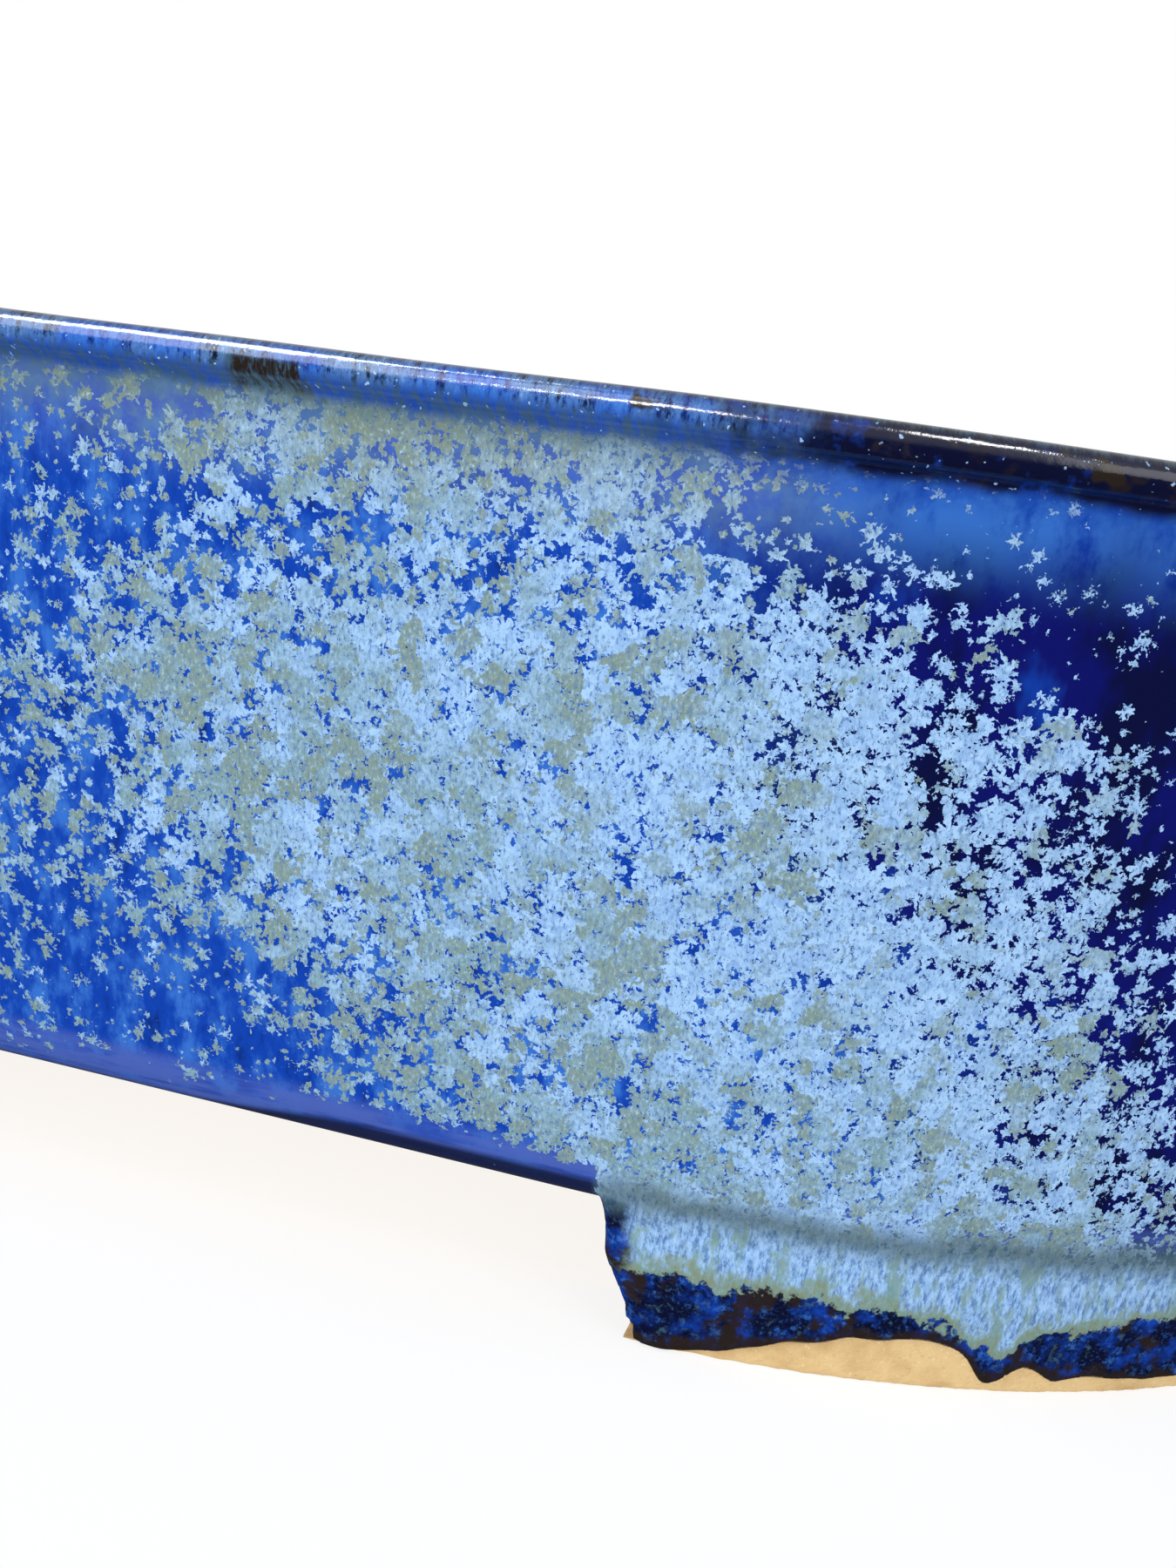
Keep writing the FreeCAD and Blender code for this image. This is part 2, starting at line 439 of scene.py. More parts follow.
@dataclass
class PotFoot:
    """A low foot under a round end, its clay pressed up against the base and glazed over.

    Attributes:
        sizes: the pot's driving sizes.
        setback: how far the outer face stays inside the wall's own slope.
        thickness: across the foot at its bottom.
        start: where it starts, in degrees round the end's centre.
        end: where it ends.
        end_lean: how far the end faces lean in over the foot's height.
        corner: how much is cut off each lower corner of the end faces before they are rounded.
        voxel: size of the grid that melts foot and base together.
        soften: how many times the melted clay is smoothed.
        glaze: thickness of the glaze coat.
    """

    sizes: PotSizes
    setback: float = 0.5 * MM
    thickness: float = 14 * MM
    start: float = 1.0
    end: float = 52.0
    end_lean: float = 3.2 * MM
    corner: float = 2.6 * MM
    voxel: float = 0.55 * MM
    soften: int = 7
    glaze: float = 0.5 * MM

    def blank(self) -> bpy.types.Object:
        """The plain bar of the foot, with leaning ends and its lower corners cut off."""
        s = self.sizes
        top = s.underside + 6 * MM
        outer_bottom = s.outer(0) + self.setback
        corners = [
            (outer_bottom, 0.0),
            (s.outer(top) + self.setback, top),
            (outer_bottom + self.thickness, top),
            (outer_bottom + self.thickness, 0.0),
        ]
        bar = self.spun_bar("foot_blank", corners, self.start, self.end)
        mid = math.radians((self.start + self.end) / 2)
        half = math.radians((self.end - self.start) / 2)
        radius = s.end_radius - outer_bottom
        for vertex in bar.data.vertices:
            p = vertex.co
            turn = math.atan2(p.x - s.straight_half, -p.y) - mid
            nearness = abs(turn) / half
            if nearness > 0.97:
                lean = self.end_lean * (1 - p.z / s.underside)
                cut = self.corner * max(0.0, 1 - p.z / (4 * MM))
                shift = (lean + cut) / radius * (-1 if turn > 0 else 1)
                self.turn_about_end(p, shift)
        return bar

    def turn_about_end(self, point: Vector, angle: float) -> None:
        """Turns a point in place round the right end's centre, by an angle in radians."""
        centre = Vector((self.sizes.straight_half, 0, 0))
        point.xyz = Matrix.Rotation(angle, 3, "Z") @ (point - centre) + centre

    def spun_bar(
        self, name: str, corners: Sequence[Point], start: float, end: float
    ) -> bpy.types.Object:
        """A closed bar that follows the right end.

        Args:
            name: the new object's name.
            corners: its section, as insets and heights.
            start: where it starts, in degrees round the end's centre.
            end: where it ends.

        Returns:
            The bar, in object mode.
        """
        s = self.sizes
        places = [Vector((s.straight_half, i - s.end_radius, z)) for i, z in corners]
        bar = start_from_point(name, places[0])
        extrude_along(b - a for a, b in zip(places, places[1:]))
        bpy.ops.mesh.select_all(action="SELECT")
        bpy.ops.mesh.edge_face_add()
        bpy.ops.mesh.subdivide(number_cuts=1)
        mesh = bmesh.from_edit_mesh(bar.data)
        centre = Vector((s.straight_half, 0, 0))
        turned = Matrix.Rotation(math.radians(start), 4, "Z")
        bmesh.ops.transform(
            mesh,
            matrix=Matrix.Translation(centre) @ turned @ Matrix.Translation(-centre),
            verts=mesh.verts,
        )
        bmesh.update_edit_mesh(bar.data)
        bpy.ops.mesh.select_all(action="SELECT")
        spin_half(s.straight_half, 28, end - start)
        close_up(0.01 * MM)
        return bar

    def base_piece(self) -> bpy.types.Object:
        """A stretch of the base's rounded lower edge, just under the body's own surface."""
        s = self.sizes
        top, hide, inwards = 26 * MM, 0.22 * MM, 50 * MM
        corners = [(s.outer(top) + hide, top)]
        corners += arc(s.edge_centre(EDGE_RADIUS), EDGE_RADIUS - hide, -14, -90, 6)
        corners += [(inwards, s.underside + hide), (inwards, top)]
        return self.spun_bar("base_stretch", corners, self.start - 5, self.end + 5)

    def build(self, place: FootPlace) -> bpy.types.Object:
        """Melts the bar and the stretch of base into one piece of clay, and glazes it.

        Args:
            place: which of the four feet this is.

        Returns:
            The finished foot.
        """
        stretch = self.base_piece()
        foot = self.blank()
        activate(foot)
        stretch.select_set(True)
        bpy.ops.object.join()
        foot.name = place.node.replace("foot_", "clay_foot_")
        foot.data.name = foot.name
        apply_modifier(foot, "REMESH", mode="VOXEL", voxel_size=self.voxel)
        apply_modifier(foot, "SMOOTH", factor=0.5, iterations=self.soften)
        self.trim_top(foot)
        self.move_to(foot, place)
        self.coat(foot)
        activate(foot)
        bpy.ops.object.shade_smooth()
        return foot

    def trim_top(self, foot: bpy.types.Object) -> None:
        """Cuts off what would be hidden deep inside the base, and closes the cut."""
        activate(foot)
        bpy.ops.object.mode_set(mode="EDIT")
        bpy.ops.mesh.select_all(action="SELECT")
        bpy.ops.mesh.bisect(
            plane_co=(0, 0, self.sizes.underside + 8 * MM),
            plane_no=(0, 0, 1),
            use_fill=True,
            clear_outer=True,
        )
        bpy.ops.object.mode_set(mode="OBJECT")

    def move_to(self, foot: bpy.types.Object, place: FootPlace) -> None:
        """Mirrors the foot in its mesh to the place where it stands."""
        signs = place.mirror
        foot.data.transform(Matrix.Diagonal(signs.to_4d()))
        if signs.x * signs.y < 0:
            foot.data.flip_normals()

    def drip_line(self, p: Vector) -> float:
        """Height at which the glaze stops above the table, at a point on the foot's outer face."""
        s = self.sizes
        flat = Vector((p.x, p.y, 0))
        turn = math.atan2(abs(p.x) - s.straight_half, abs(p.y))
        run = turn * s.end_radius / MM
        bare = 3.0 - 3.1 * math.cos(2 * math.pi * (min(run, 62.0) - 8.0) / 68)
        lobes = sum(math.exp(-(((run - at) / 3.0) ** 2)) for at in (53, 92))
        uneven = 0.8 * wander(flat, 8 * MM, 4.4) + 0.5 * wander(flat, 3.5 * MM, 9.1)
        return max(0.1, bare - 3.4 * lobes + uneven * min(1.0, 0.3 + bare / 2)) * MM

    def coat(self, foot: bpy.types.Object) -> None:
        """Marks where the glaze lies, thickens it there and flattens what stands on the table."""
        s = self.sizes
        inner_face = s.outer(0) + self.setback + self.thickness

        def depth(p: Vector) -> float:
            """Distance from the edge of the glaze, positive under the glaze."""
            below = p.z - self.drip_line(p)
            behind = inner_face - 2 * MM - s.inset_of(p)
            return min(below, behind)

        foot.data.update()
        store_edge(foot, depth)
        values = foot.data.attributes[EDGE_ATTRIBUTE].data
        outwards = [v.normal.copy() for v in foot.data.vertices]
        for vertex, value, out in zip(foot.data.vertices, values, outwards):
            p = vertex.co
            swell = min(1.0, max(0.0, value.value / 0.8 + 0.3))
            swell = swell * swell * (3 - 2 * swell)
            fade = min(1.0, max(0.0, (s.underside - 1 * MM - p.z) / (3 * MM)))
            bead = 1 + 0.35 * math.exp(-((value.value - 0.9) / 0.7) ** 2)
            p += out * self.glaze * swell * fade * bead
            p.z = max(p.z, 0.0)
        foot.data.update()


# ---- node groups --------------------------------------------------------------------------------
class NodeDesk:
    """Adds and wires nodes in one node tree."""

    def __init__(self, tree: bpy.types.NodeTree) -> None:
        """Takes the tree to work on."""
        self.tree = tree

    def add(self, kind: str, **settings: object) -> bpy.types.Node:
        """Adds a node of this type with these properties."""
        node = self.tree.nodes.new(kind)
        for key, value in settings.items():
            setattr(node, key, value)
        return node

    def feed(self, socket: Socket, value: object) -> None:
        """Links a socket, or sets its default, whichever value is."""
        if isinstance(value, bpy.types.NodeSocket):
            self.tree.links.new(value, socket)
        else:
            socket.default_value = value

    def calc(self, operation: str, *values: object, clamp: bool = False) -> Socket:
        """A Math node's output."""
        node = self.add("ShaderNodeMath", operation=operation, use_clamp=clamp)
        for socket, value in zip(node.inputs, values):
            self.feed(socket, value)
        return node.outputs[0]

    plus = partialmethod(calc, "ADD")
    minus = partialmethod(calc, "SUBTRACT")
    times = partialmethod(calc, "MULTIPLY")
    scaled = partialmethod(calc, "MULTIPLY_ADD")
    larger = partialmethod(calc, "MAXIMUM")
    size = partialmethod(calc, "ABSOLUTE")

    def vector(self, operation: str, *values: object) -> Socket:
        """A Vector Math node's output; the last value of a scale goes to its Scale socket."""
        node = self.add("ShaderNodeVectorMath", operation=operation)
        if operation == "SCALE":
            self.feed(node.inputs[0], values[0])
            self.feed(node.inputs["Scale"], values[1])
        else:
            for socket, value in zip(node.inputs, values):
                self.feed(socket, value)
        return node.outputs[0]

    def join(self, x: object, y: object, z: object = 0.0) -> Socket:
        """A vector made of three values."""
        node = self.add("ShaderNodeCombineXYZ")
        for socket, value in zip(node.inputs, (x, y, z)):
            self.feed(socket, value)
        return node.outputs[0]

    def split(self, vector: Socket) -> bpy.types.NodeOutputs:
        """The three values of a vector."""
        node = self.add("ShaderNodeSeparateXYZ")
        self.feed(node.inputs[0], vector)
        return node.outputs

    def mix(self, share: object, a: object, b: object) -> Socket:
        """A colour between a and b."""
        node = self.add("ShaderNodeMix", data_type="RGBA", clamp_factor=True)
        self.feed(node.inputs["Factor"], share)
        self.feed(node.inputs[6], a)
        self.feed(node.inputs[7], b)
        return node.outputs[2]

    def blend(self, share: object, a: object, b: object) -> Socket:
        """A value between a and b."""
        node = self.add("ShaderNodeMix", data_type="FLOAT", clamp_factor=True)
        self.feed(node.inputs[0], share)
        self.feed(node.inputs[2], a)
        self.feed(node.inputs[3], b)
        return node.outputs[0]

    def rise(
        self, value: object, low: object, high: object, bottom: object = 0.0, top: object = 1.0
    ) -> Socket:
        """A smooth step from bottom to top as value goes from low to high."""
        node = self.add("ShaderNodeMapRange", interpolation_type="SMOOTHSTEP")
        for socket, item in zip(node.inputs, (value, low, high, bottom, top)):
            self.feed(socket, item)
        return node.outputs[0]

    def fade(
        self, value: object, low: float, high: float, a: object, b: object, most: float = 1.0
    ) -> Socket:
        """Colour a turning into b, up to the share most, as value goes from low to high."""
        return self.mix(self.rise(value, low, high, 0.0, most), a, b)

    def noise(
        self,
        vector: Socket,
        scale: float,
        detail: float = 2.0,
        roughness: float = 0.5,
        output: str = "Fac",
        dimensions: str = "3D",
    ) -> Socket:
        """A Noise Texture's output."""
        node = self.add("ShaderNodeTexNoise", noise_dimensions=dimensions)
        self.feed(node.inputs["Vector"], vector)
        node.inputs["Scale"].default_value = scale
        node.inputs["Detail"].default_value = detail
        node.inputs["Roughness"].default_value = roughness
        return node.outputs[output]


class NodeGroup:
    """A shader node group, built once, with named inputs and outputs."""

    name = "group"
    inputs: tuple[tuple[str, str, float], ...] = ()
    outputs: tuple[tuple[str, str], ...] = ()

    def __init__(self) -> None:
        """Makes the group's tree and its sockets, and fills it in."""
        self.tree = bpy.data.node_groups.new(self.name, "ShaderNodeTree")
        for label, kind, value in self.inputs:
            socket = self.tree.interface.new_socket(label, in_out="INPUT", socket_type=kind)
            if kind == "NodeSocketFloat":
                socket.default_value = value
        for label, kind in self.outputs:
            self.tree.interface.new_socket(label, in_out="OUTPUT", socket_type=kind)
        desk = NodeDesk(self.tree)
        given = desk.add("NodeGroupInput").outputs
        wanted = desk.add("NodeGroupOutput").inputs
        self.fill(desk, given, wanted)

    def fill(
        self, desk: NodeDesk, given: bpy.types.NodeOutputs, wanted: bpy.types.NodeInputs
    ) -> None:
        """Builds the group's nodes between its input and output sockets."""
        raise NotImplementedError

    def place(self, desk: NodeDesk, **values: object) -> bpy.types.NodeOutputs:
        """Puts the group into a tree with these inputs, underscores standing for spaces."""
        node = desk.add("ShaderNodeGroup", node_tree=self.tree)
        for key, value in values.items():
            desk.feed(node.inputs[key.replace("_", " ")], value)
        return node.outputs


class PotSurface(NodeGroup):
    """Where a point lies on the pot: along and up the wall, and in degrees round an end."""

    name = "pot_surface"
    inputs = (("Position", "NodeSocketVector", 0.0),)
    outputs = (
        ("Surface", "NodeSocketVector"),
        ("Along", "NodeSocketFloat"),
        ("Height", "NodeSocketFloat"),
        ("Beside", "NodeSocketFloat"),
        ("Solid", "NodeSocketVector"),
    )

    def __init__(self, sizes: PotSizes) -> None:
        """Takes the pot's sizes, then builds the group."""
        self.sizes = sizes
        super().__init__()

    def fill(
        self, desk: NodeDesk, given: bpy.types.NodeOutputs, wanted: bpy.types.NodeInputs
    ) -> None:
        """Unrolls the oval wall: straight sides keep X, round ends turn into arc length."""
        s = self.sizes
        half = s.straight_half / MM
        mid_radius = (s.end_radius - s.outer(s.height / 2)) / MM
        solid = desk.vector("SCALE", given[0], 1 / MM)
        x, y, z = desk.split(solid)
        inner_x = desk.calc("MINIMUM", desk.larger(x, -half), half)
        past_x = desk.minus(x, inner_x)
        side = desk.minus(desk.times(desk.calc("GREATER_THAN", x, 0.0), 2.0), 1.0)
        front = desk.calc("LESS_THAN", y, 0.0)
        turn = desk.calc("ARCTAN2", desk.size(past_x), desk.times(y, -1.0))
        turned = desk.times(desk.times(turn, side), mid_radius)
        behind = desk.minus(desk.times(side, 2 * half), inner_x)
        along = desk.plus(turned, desk.blend(front, behind, inner_x))
        squares = [desk.calc("POWER", value, 2.0) for value in (past_x, y)]
        reach = desk.calc("SQRT", desk.plus(*squares))
        inset = desk.minus(s.end_radius / MM, reach)
        wall = desk.scaled(z, -s.flare, (s.overhang + s.wall_top * s.flare) / MM)
        depth = desk.minus(inset, wall)
        up = desk.minus(z, desk.larger(depth, 0.0))
        desk.feed(wanted["Surface"], desk.join(along, up))
        desk.feed(wanted["Along"], along)
        desk.feed(wanted["Height"], z)
        beside = desk.calc("ARCTAN2", desk.size(past_x), desk.size(y))
        desk.feed(wanted["Beside"], desk.calc("DEGREES", beside))
        desk.feed(wanted["Solid"], solid)


class CrystalLayer(NodeGroup):
    """One size of star-shaped glaze crystals, each on its own cell of the surface."""

    name = "crystal_layer"
    inputs = (
        ("Surface", "NodeSocketVector", 0.0),
        ("Cell", "NodeSocketFloat", 2.0),
        ("Cover", "NodeSocketFloat", 0.5),
        ("Arms", "NodeSocketFloat", 6.0),
        ("Spikiness", "NodeSocketFloat", 0.5),
        ("Seed", "NodeSocketFloat", 0.0),
    )
    outputs = (
        ("Mask", "NodeSocketFloat"),
        ("Tint", "NodeSocketFloat"),
        ("Shade", "NodeSocketFloat"),
    )

    def fill(
        self, desk: NodeDesk, given: bpy.types.NodeOutputs, wanted: bpy.types.NodeInputs
    ) -> None:
        """Draws a ragged star round each cell's point, larger where the cover is high."""
        offset = desk.join(given["Seed"], desk.times(given["Seed"], 1.7))
        cell = desk.join(given["Cell"], given["Cell"], 1.0)
        scaled = desk.vector("DIVIDE", given["Surface"], cell)
        place = desk.vector("ADD", scaled, offset)
        warp = desk.noise(place, 1.9, 2.0, 0.6, output="Color", dimensions="2D")
        warp = desk.vector("SUBTRACT", warp, (0.5, 0.5, 0.5))
        place = desk.vector("ADD", place, desk.vector("SCALE", warp, 0.6))
        cells = desk.add("ShaderNodeTexVoronoi", voronoi_dimensions="2D", feature="F1")
        desk.feed(cells.inputs["Vector"], place)
        cells.inputs["Scale"].default_value = 1.0
        cells.inputs["Randomness"].default_value = 1.0
        away = desk.split(desk.vector("SUBTRACT", place, cells.outputs["Position"]))
        parts = desk.add("ShaderNodeSeparateColor")
        desk.feed(parts.inputs[0], cells.outputs["Color"])
        first, second, third = parts.outputs[:3]
        turn = desk.calc("ARCTAN2", away[1], away[0])
        turn = desk.times(turn, desk.calc("DIVIDE", given["Arms"], 2 * math.pi))
        turn = desk.scaled(first, 11.0, turn)
        tip = desk.times(desk.calc("PINGPONG", turn, 0.5), 2.0)
        arm = desk.calc("FLOOR", desk.plus(turn, 0.5))
        chance = desk.add("ShaderNodeTexWhiteNoise", noise_dimensions="2D")
        desk.feed(chance.inputs["Vector"], desk.join(arm, desk.times(second, 37.0)))
        length = desk.blend(chance.outputs["Value"], 0.35, 1.0)
        spike = desk.times(desk.calc("POWER", desk.minus(1.0, tip), 1.3), length)
        reach = desk.blend(given["Spikiness"], 0.8, spike)
        reach = desk.larger(reach, 0.3)
        grown = desk.rise(desk.minus(given["Cover"], third), -0.03, 0.7, 0.0, 1.35)
        ragged = desk.noise(given["Surface"], 2.6, 2.0, 0.75, dimensions="2D")
        ragged = desk.times(desk.minus(ragged, 0.5), 0.85)
        edge = desk.minus(desk.times(reach, grown), cells.outputs["Distance"])
        edge = desk.plus(edge, desk.times(ragged, desk.rise(grown, 0.0, 0.3)))
        present = desk.calc("GREATER_THAN", grown, 0.02)
        desk.feed(wanted["Mask"], desk.times(desk.rise(edge, -0.01, 0.03), present))
        desk.feed(wanted["Tint"], second)
        desk.feed(wanted["Shade"], chance.outputs["Value"])


def lower_band(desk: NodeDesk, along: Socket) -> Socket:
    """Height of the dark band on the rounded lower edge, in millimetres: partly glaze gathered
    there, partly painted shade where the edge turns under.
    """
    return desk.rise(along, 8.0, 32.0, 15.0, 17.4)


class GlazeZones(NodeGroup):
    """Where on the pot each kind of glaze lies, as soft masks from 0 to 1."""

    name = "glaze_zones"
    inputs = (
        ("Surface", "NodeSocketVector", 0.0),
        ("Solid", "NodeSocketVector", 0.0),
        ("Along", "NodeSocketFloat", 0.0),
        ("Height", "NodeSocketFloat", 0.0),
        ("Beside", "NodeSocketFloat", 0.0),
    )
    outputs = (
        ("Side", "NodeSocketFloat"),
        ("Upper side", "NodeSocketFloat"),
        ("Deep", "NodeSocketFloat"),
        ("Cover", "NodeSocketFloat"),
        ("Near lip", "NodeSocketFloat"),
        ("Smear", "NodeSocketFloat"),
        ("Lip", "NodeSocketFloat"),
        ("Foot", "NodeSocketFloat"),
        ("Crease", "NodeSocketFloat"),
    )

    def __init__(self, sizes: PotSizes, glaze: "CrystallineGlaze") -> None:
        """Takes the pot's sizes and the glaze, then builds the group."""
        self.sizes = sizes
        self.glaze = glaze
        super().__init__()

    def fill(
        self, desk: NodeDesk, given: bpy.types.NodeOutputs, wanted: bpy.types.NodeInputs
    ) -> None:
        """Lays dense and open patches in turn round the pot, and the lip, foot and crease bands."""
        surface, z = given["Surface"], given["Height"]
        top = self.sizes.wall_top / MM
        under = self.sizes.underside / MM
        drift = desk.minus(desk.noise(given["Solid"], 0.03, 2.0), 0.5)
        upper = desk.scaled(drift, 14.0, given["Along"])
        upper = desk.minus(upper, self.glaze.zone_centre)
        below = desk.larger(desk.minus(60.0, z), 0.0)
        zone = desk.scaled(below, -self.glaze.zone_slant, upper)
        wave = desk.calc("COSINE", desk.times(zone, 2 * math.pi / self.glaze.zone_length))
        side = desk.calc("SINE", desk.times(zone, math.pi / self.glaze.zone_length))
        upper = desk.calc("SINE", desk.times(upper, math.pi / self.glaze.zone_length))
        cover = desk.rise(wave, -1.2, 0.5, 0.46, 1.2)
        left_low = desk.times(desk.rise(side, -0.6, -1.0), desk.rise(z, 46.0, 26.0))
        cover = desk.scaled(left_low, -0.05, cover)
        off = desk.size(desk.minus(z, 48.0))
        left_mid = desk.times(desk.rise(side, -0.45, -0.85), desk.rise(off, 20.0, 8.0))
        cover = desk.scaled(left_mid, 0.16, cover)
        drawn = desk.vector("MULTIPLY", surface, (1.0, 0.55, 1.0))
        patch = desk.noise(drawn, 0.16, 4.0, 0.65)
        cover = desk.scaled(desk.minus(patch, 0.5), 1.1, cover)
        bare_top = desk.rise(upper, 0.25, 0.75, 16.0, 21.0)
        gap = desk.calc("DIVIDE", desk.minus(top, z), bare_top)
        far = desk.rise(upper, 0.85, 1.0)
        least = desk.scaled(far, 0.15, desk.rise(upper, 0.1, 0.6, 0.85, 0.35))
        cover = desk.times(cover, desk.rise(gap, 0.15, 1.1, least, 1.0))
        dip = desk.rise(desk.size(desk.minus(z, 75.0)), 8.0, 2.0)
        dip = desk.times(dip, desk.rise(upper, 0.6, -0.6, 0.1, 0.28))
        cover = desk.times(cover, desk.minus(1.0, dip))
        at_foot = desk.times(
            desk.rise(given["Beside"], 0.0, 0.9), desk.rise(given["Beside"], 55.0, 51.0)
        )
        low = desk.rise(desk.minus(z, lower_band(desk, given["Along"])), 0.3, 4.5, 0.1, 1.0)
        cover = desk.times(cover, desk.blend(at_foot, low, 1.0))
        sway = desk.minus(desk.noise(surface, 0.16, 2.0), 0.5)
        height = desk.scaled(sway, 2.5, z)
        off = desk.size(desk.minus(height, under + 2.6))
        desk.feed(wanted["Side"], side)
        desk.feed(wanted["Upper side"], upper)
        desk.feed(wanted["Deep"], desk.rise(side, 0.15, 0.7))
        desk.feed(wanted["Cover"], cover)
        desk.feed(wanted["Near lip"], desk.rise(desk.minus(top, z), 11.0, 2.0))
        desk.feed(wanted["Smear"], desk.rise(desk.minus(top, z), 4.0, 0.6))
        desk.feed(wanted["Lip"], desk.rise(desk.scaled(sway, 1.6, z), top - 1.7, top - 0.4))
        desk.feed(wanted["Foot"], desk.times(desk.rise(height, under + 2.6, under + 1.4), at_foot))
        # The crease over the feet, where pooled glaze and painted shade are drawn.
        desk.feed(wanted["Crease"], desk.times(desk.rise(off, 3.2, 0.1), at_foot))


# ---- finishes -----------------------------------------------------------------------------------
@dataclass(frozen=True)
class Canvas:
    """What the parts of the glaze are drawn on.

    Attributes:
        desk: the material's desk.
        where: outputs of the pot surface group.
        zones: outputs of the glaze zones group.
        edge: distance from the edge of the glaze, in millimetres, positive under the glaze.
    """

    desk: NodeDesk
    where: bpy.types.NodeOutputs
    zones: bpy.types.NodeOutputs
    edge: Socket

    def pattern(
        self,
        scale: float,
        detail: float,
        roughness: float = 0.5,
        along: float = 1.0,
        down: float = 1.0,
    ) -> Socket:
        """Noise over the unrolled surface.

        Args:
            scale: how fine it is, per millimetre.
            detail: its octaves.
            roughness: how strong the finer octaves are.
            along: below 1, it is drawn out along the wall.
            down: below 1, it is drawn out down the wall.

        Returns:
            A value around 0.5.
        """
        surface = self.where["Surface"]
        if (along, down) != (1.0, 1.0):
            surface = self.desk.vector("MULTIPLY", surface, (along, down, 1.0))
        return self.desk.noise(surface, scale, detail, roughness)

    def off(self, value: Socket, middle: float) -> Socket:
        """How far a value lies from the middle, either way."""
        return self.desk.size(self.desk.minus(value, middle))


@dataclass(frozen=True)
class CrystallineGlaze:
    """The blue glaze over sandy clay.

    Attributes:
        royal: the clear glaze where it is bright blue.
        indigo: the clear glaze where it is deep.
        navy: the clear glaze where it pools or breaks.
        azure: the milky blue streaks near the lip.
        ice: the palest crystals.
        periwinkle: the middling blue crystals.
        slate: the darker flecks in the crystals.
        sage: the green-grey crystals.
        olive: the haze under the lip and the fringe on the feet.
        teal: the crease over the feet, pooled glaze with painted shade, and the dark places on the
            lip.
        valley: the paler flecks in that crease.
        smear: the thin line of glaze that has run from under the lip.
        haze: the grey milkiness under the lip.
        reflection_violet: the sheen on the rounded lower edge.
        rust: where the glaze thins to brown.
        clay: the sandy clay.
        clay_dark: its darker patches.
        clay_pale: its palest grit.
        zone_centre: where along the wall the crystals are densest, in millimetres.
        zone_length: how far it is from one dense patch to the next.
        zone_slant: how far the patches shift to the right for each millimetre down.
        scorch_at: where along the lip the glaze is burnt brown.
        glassy: roughness of the clear glaze.
        lip_gloss: roughness of the lip.
        matt: roughness of the crystals.
        clay_roughness: roughness of the bare clay.
    """

    royal: Colour = srgb(13, 62, 166)
    indigo: Colour = srgb(10, 16, 98)
    navy: Colour = srgb(7, 12, 44)
    azure: Colour = srgb(54, 112, 200)
    ice: Colour = srgb(160, 200, 240)
    periwinkle: Colour = srgb(128, 170, 220)
    slate: Colour = srgb(80, 120, 172)
    sage: Colour = srgb(116, 150, 144)
    olive: Colour = srgb(122, 138, 112)
    teal: Colour = srgb(58, 90, 112)
    valley: Colour = srgb(96, 122, 134)
    smear: Colour = srgb(80, 114, 126)
    haze: Colour = srgb(90, 122, 160)
    # reflection_violet: a painted reflection of the pale floor on the rounded lower edge, also
    # painted into the veil under the lip.
    reflection_violet: Colour = srgb(72, 96, 176)
    rust: Colour = srgb(38, 30, 26)
    clay: Colour = srgb(226, 194, 138)
    clay_dark: Colour = srgb(192, 152, 96)
    clay_pale: Colour = srgb(244, 226, 186)
    zone_centre: float = 45.0
    zone_length: float = 130.0
    zone_slant: float = 0.8
    scorch_at: float = 22.5
    glassy: float = 0.08
    lip_gloss: float = 0.14
    matt: float = 0.45
    clay_roughness: float = 0.85

    def material(self, sizes: PotSizes) -> bpy.types.Material:
        """Builds the material.

        Args:
            sizes: the pot's driving sizes.

        Returns:
            A material for every piece of the pot.
        """
        material = bpy.data.materials.new("crystalline_blue_glaze")
        material.use_nodes = True
        tree = material.node_tree
        tree.nodes.clear()
        desk = NodeDesk(tree)
        coordinates = desk.add("ShaderNodeTexCoord")
        where = PotSurface(sizes).place(desk, Position=coordinates.outputs["Object"])
        read = ("Surface", "Solid", "Along", "Height", "Beside")
        zones = GlazeZones(sizes, self).place(desk, **{name: where[name] for name in read})
        edge = desk.add("ShaderNodeAttribute", attribute_name=EDGE_ATTRIBUTE).outputs["Fac"]
        on = Canvas(desk, where, zones, edge)

        pool, fringe = self.pool(on)
        mask, crystal = self.crystals(on)
        wall = desk.mix(mask, self.clear_glaze(on), crystal)
        smear = desk.fade(zones["Upper side"], 0.1, 0.5, self.smear, self.royal)
        broken = desk.rise(on.pattern(0.5, 4.0, 0.7), 0.36, 0.6, 0.15, 0.75)
        wall = desk.mix(desk.times(zones["Smear"], broken), wall, smear)
        glaze = self.foot_glaze(on, wall, pool, fringe)
        glaze = desk.mix(zones["Lip"], glaze, self.lip_glaze(on))
        ragged = desk.scaled(desk.noise(where["Solid"], 0.22, 4.0, 0.65), -5.0, edge)
        glaze = desk.fade(ragged, -0.6, -1.6, glaze, self.rust, 0.93)
        glazed = desk.rise(edge, -0.05, 0.12)

        matt = desk.minus(mask, desk.plus(zones["Lip"], pool), clamp=True)
        gloss = desk.blend(zones["Lip"], self.glassy, self.lip_gloss)
        roughness = desk.blend(glazed, self.clay_roughness, desk.blend(matt, gloss, self.matt))
        height = desk.times(desk.noise(where["Solid"], 0.3, 2.0), 0.14)
        grain = desk.noise(where["Solid"], 2.2, 3.0, 0.7)
        height = desk.scaled(grain, desk.blend(glazed, 0.35, 0.025), height)
        height = desk.scaled(glazed, 0.25, height)

